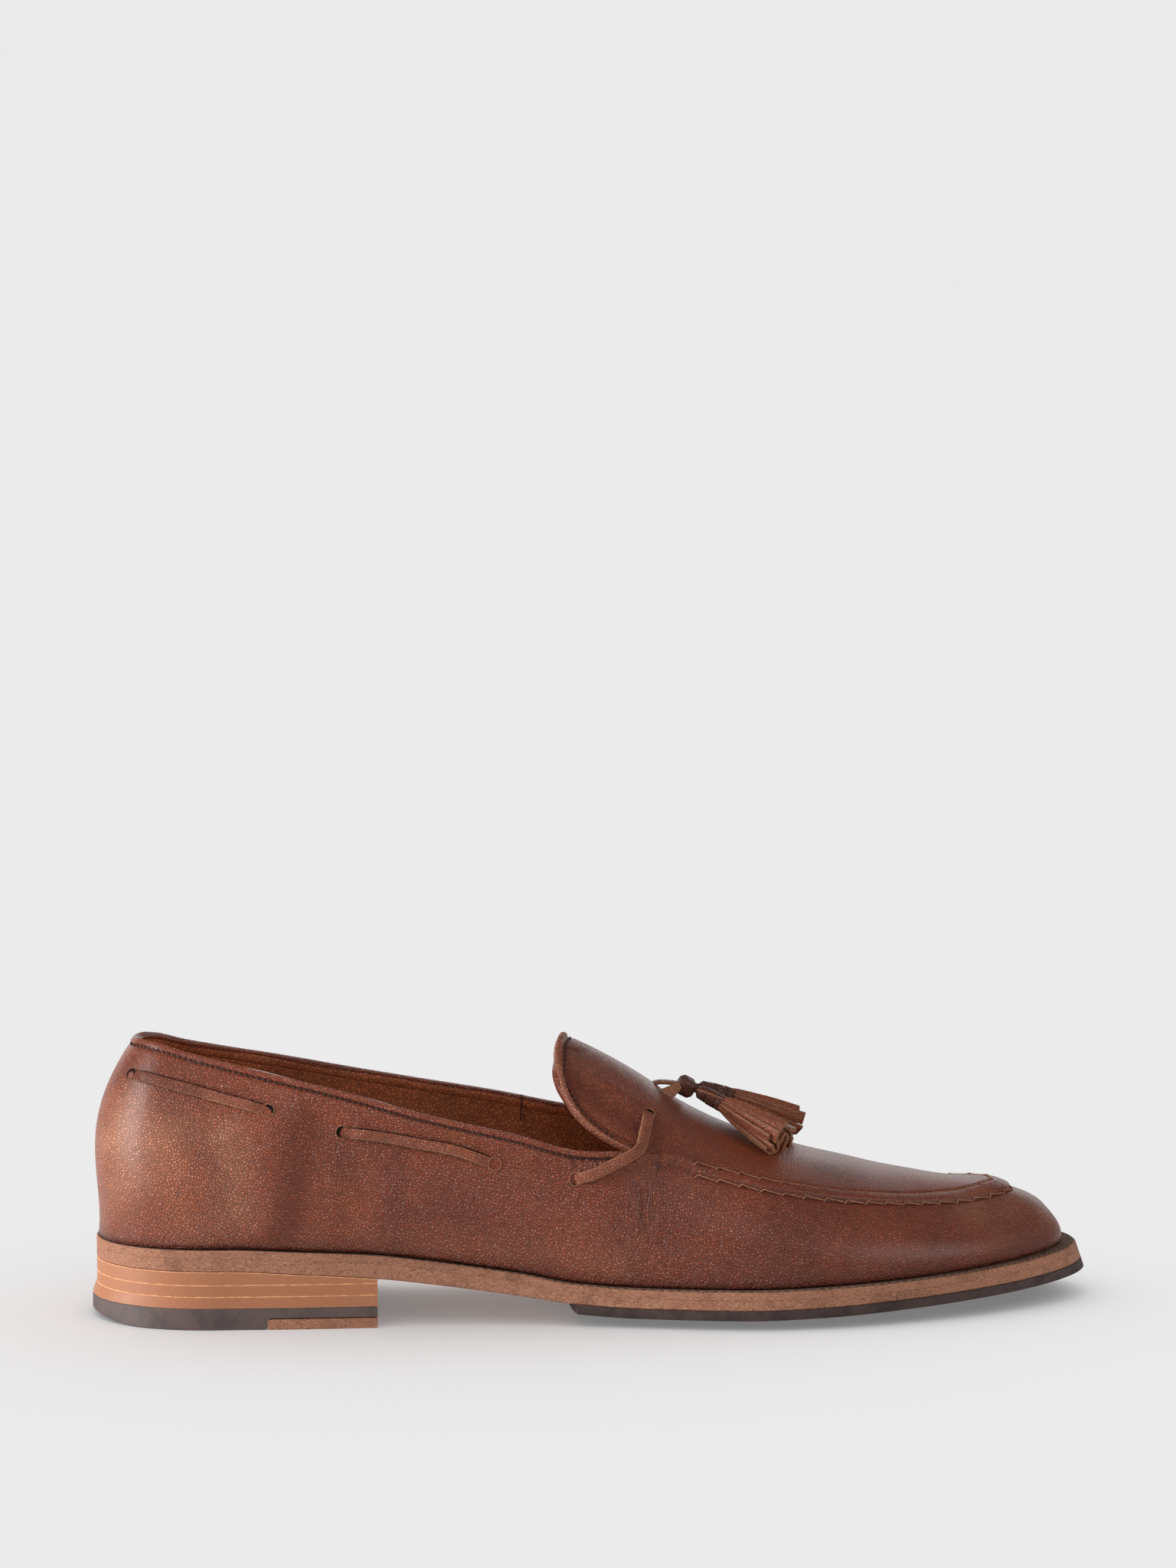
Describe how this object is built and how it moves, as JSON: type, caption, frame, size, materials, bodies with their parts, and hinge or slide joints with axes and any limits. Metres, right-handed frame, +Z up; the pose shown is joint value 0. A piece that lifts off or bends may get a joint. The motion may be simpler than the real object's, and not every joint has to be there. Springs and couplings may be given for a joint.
{
  "type": "tassel loafer",
  "caption": "Low slip-on leather dress shoe with a high tongue, raised apron seam, collar lace tied in tassels, stacked heel and rubber half sole.",
  "frame": {"origin": "centre of the shoe's outline on the floor it stands on", "axes": "+X towards the toe, -Y the outer (lateral) side, +Z up"},
  "size_m": [0.2988, 0.1036, 0.0819],
  "materials": {
    "upper_leather": "burnished chestnut calf, fine grain, satin gloss",
    "lace_leather": "chestnut calf lace with tan raw edges",
    "lining_leather": "smooth tan lining leather, matt",
    "sole_leather": "natural veg-tanned edge, fibrous and matt",
    "heel_leather": "stacked natural leather, sanded and waxed",
    "sole_rubber": "dark brown rubber, matt"
  },
  "bodies": {
    "root": {"upper": "upper_leather", "insole": "lining_leather", "welt": "sole_leather", "outsole": "sole_leather", "half_sole": "sole_rubber", "heel_lift_1": "heel_leather", "heel_lift_2": "heel_leather", "heel_lift_3": "heel_leather", "heel_toplift": "sole_rubber", "heel_inset": "heel_leather", "lace_rear_lateral": "lace_leather", "lace_rear_medial": "lace_leather", "lace_middle_lateral": "lace_leather", "lace_middle_medial": "lace_leather", "lace_front_lateral": "lace_leather", "lace_front_medial": "lace_leather", "bow_strap": "lace_leather", "bow_loop": "lace_leather", "bow_knot": "lace_leather", "tassel_lateral": "lace_leather", "tassel_medial": "lace_leather"}
  },
  "joints": []
}
